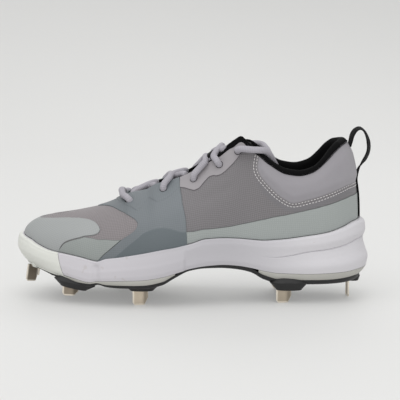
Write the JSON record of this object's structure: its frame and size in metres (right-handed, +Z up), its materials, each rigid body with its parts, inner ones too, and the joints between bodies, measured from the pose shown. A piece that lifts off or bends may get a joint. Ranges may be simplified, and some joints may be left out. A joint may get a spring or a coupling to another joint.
{
  "type": "baseball cleat",
  "caption": "Low-cut left baseball shoe: hollow lasted upper with open collar, tongue and laces on a contoured foam sole with steel spikes.",
  "frame": {"origin": "on the floor under the middle of the shoe's bounding box, without the free lace ends", "axes": "+X from the toe to the heel, +Y to the medial side, +Z up"},
  "size_m": [0.3032, 0.1044, 0.1462],
  "materials": {
    "foam": "smooth matt foam",
    "cream_plastic": "satin moulded plastic",
    "black_plastic": "satin moulded plastic",
    "spike_steel": "satin",
    "insole_fabric": "knit over foam",
    "upper_mesh": "fine woven mesh",
    "black_fabric": "padded knit",
    "grey_film": "fused skin",
    "teal_film": "fused translucent skin",
    "grey_skin": "synthetic leather",
    "webbing": "woven tape",
    "lace": "round braid"
  },
  "bodies": {
    "root": {"midsole": "foam", "chassis_front": "cream_plastic", "chassis_heel": "cream_plastic", "outsole_plate": "black_plastic", "spike_toe_lateral": "spike_steel", "spike_toe_medial": "spike_steel", "spike_front_lateral": "spike_steel", "spike_front_medial": "spike_steel", "spike_ball_lateral": "spike_steel", "spike_ball_medial": "spike_steel", "spike_heel_lateral": "spike_steel", "spike_heel_medial": "spike_steel", "spike_heel_rear": "spike_steel", "insole": "insole_fabric", "upper": "upper_mesh", "tongue": "black_fabric", "toe_overlay": "grey_film", "front_rand_lateral": "grey_film", "front_rand_medial": "grey_film", "rear_rand": "grey_film", "midfoot_film": "teal_film", "eyestay_lateral": "grey_skin", "eyestay_medial": "grey_skin", "pull_loop": "webbing", "lace_keeper": "webbing", "lace_bar": "lace", "lace_cross_1": "lace", "lace_cross_2": "lace", "lace_cross_3": "lace", "lace_cross_4": "lace", "lace_end_lateral": "lace", "lace_end_medial": "lace"}
  },
  "joints": []
}
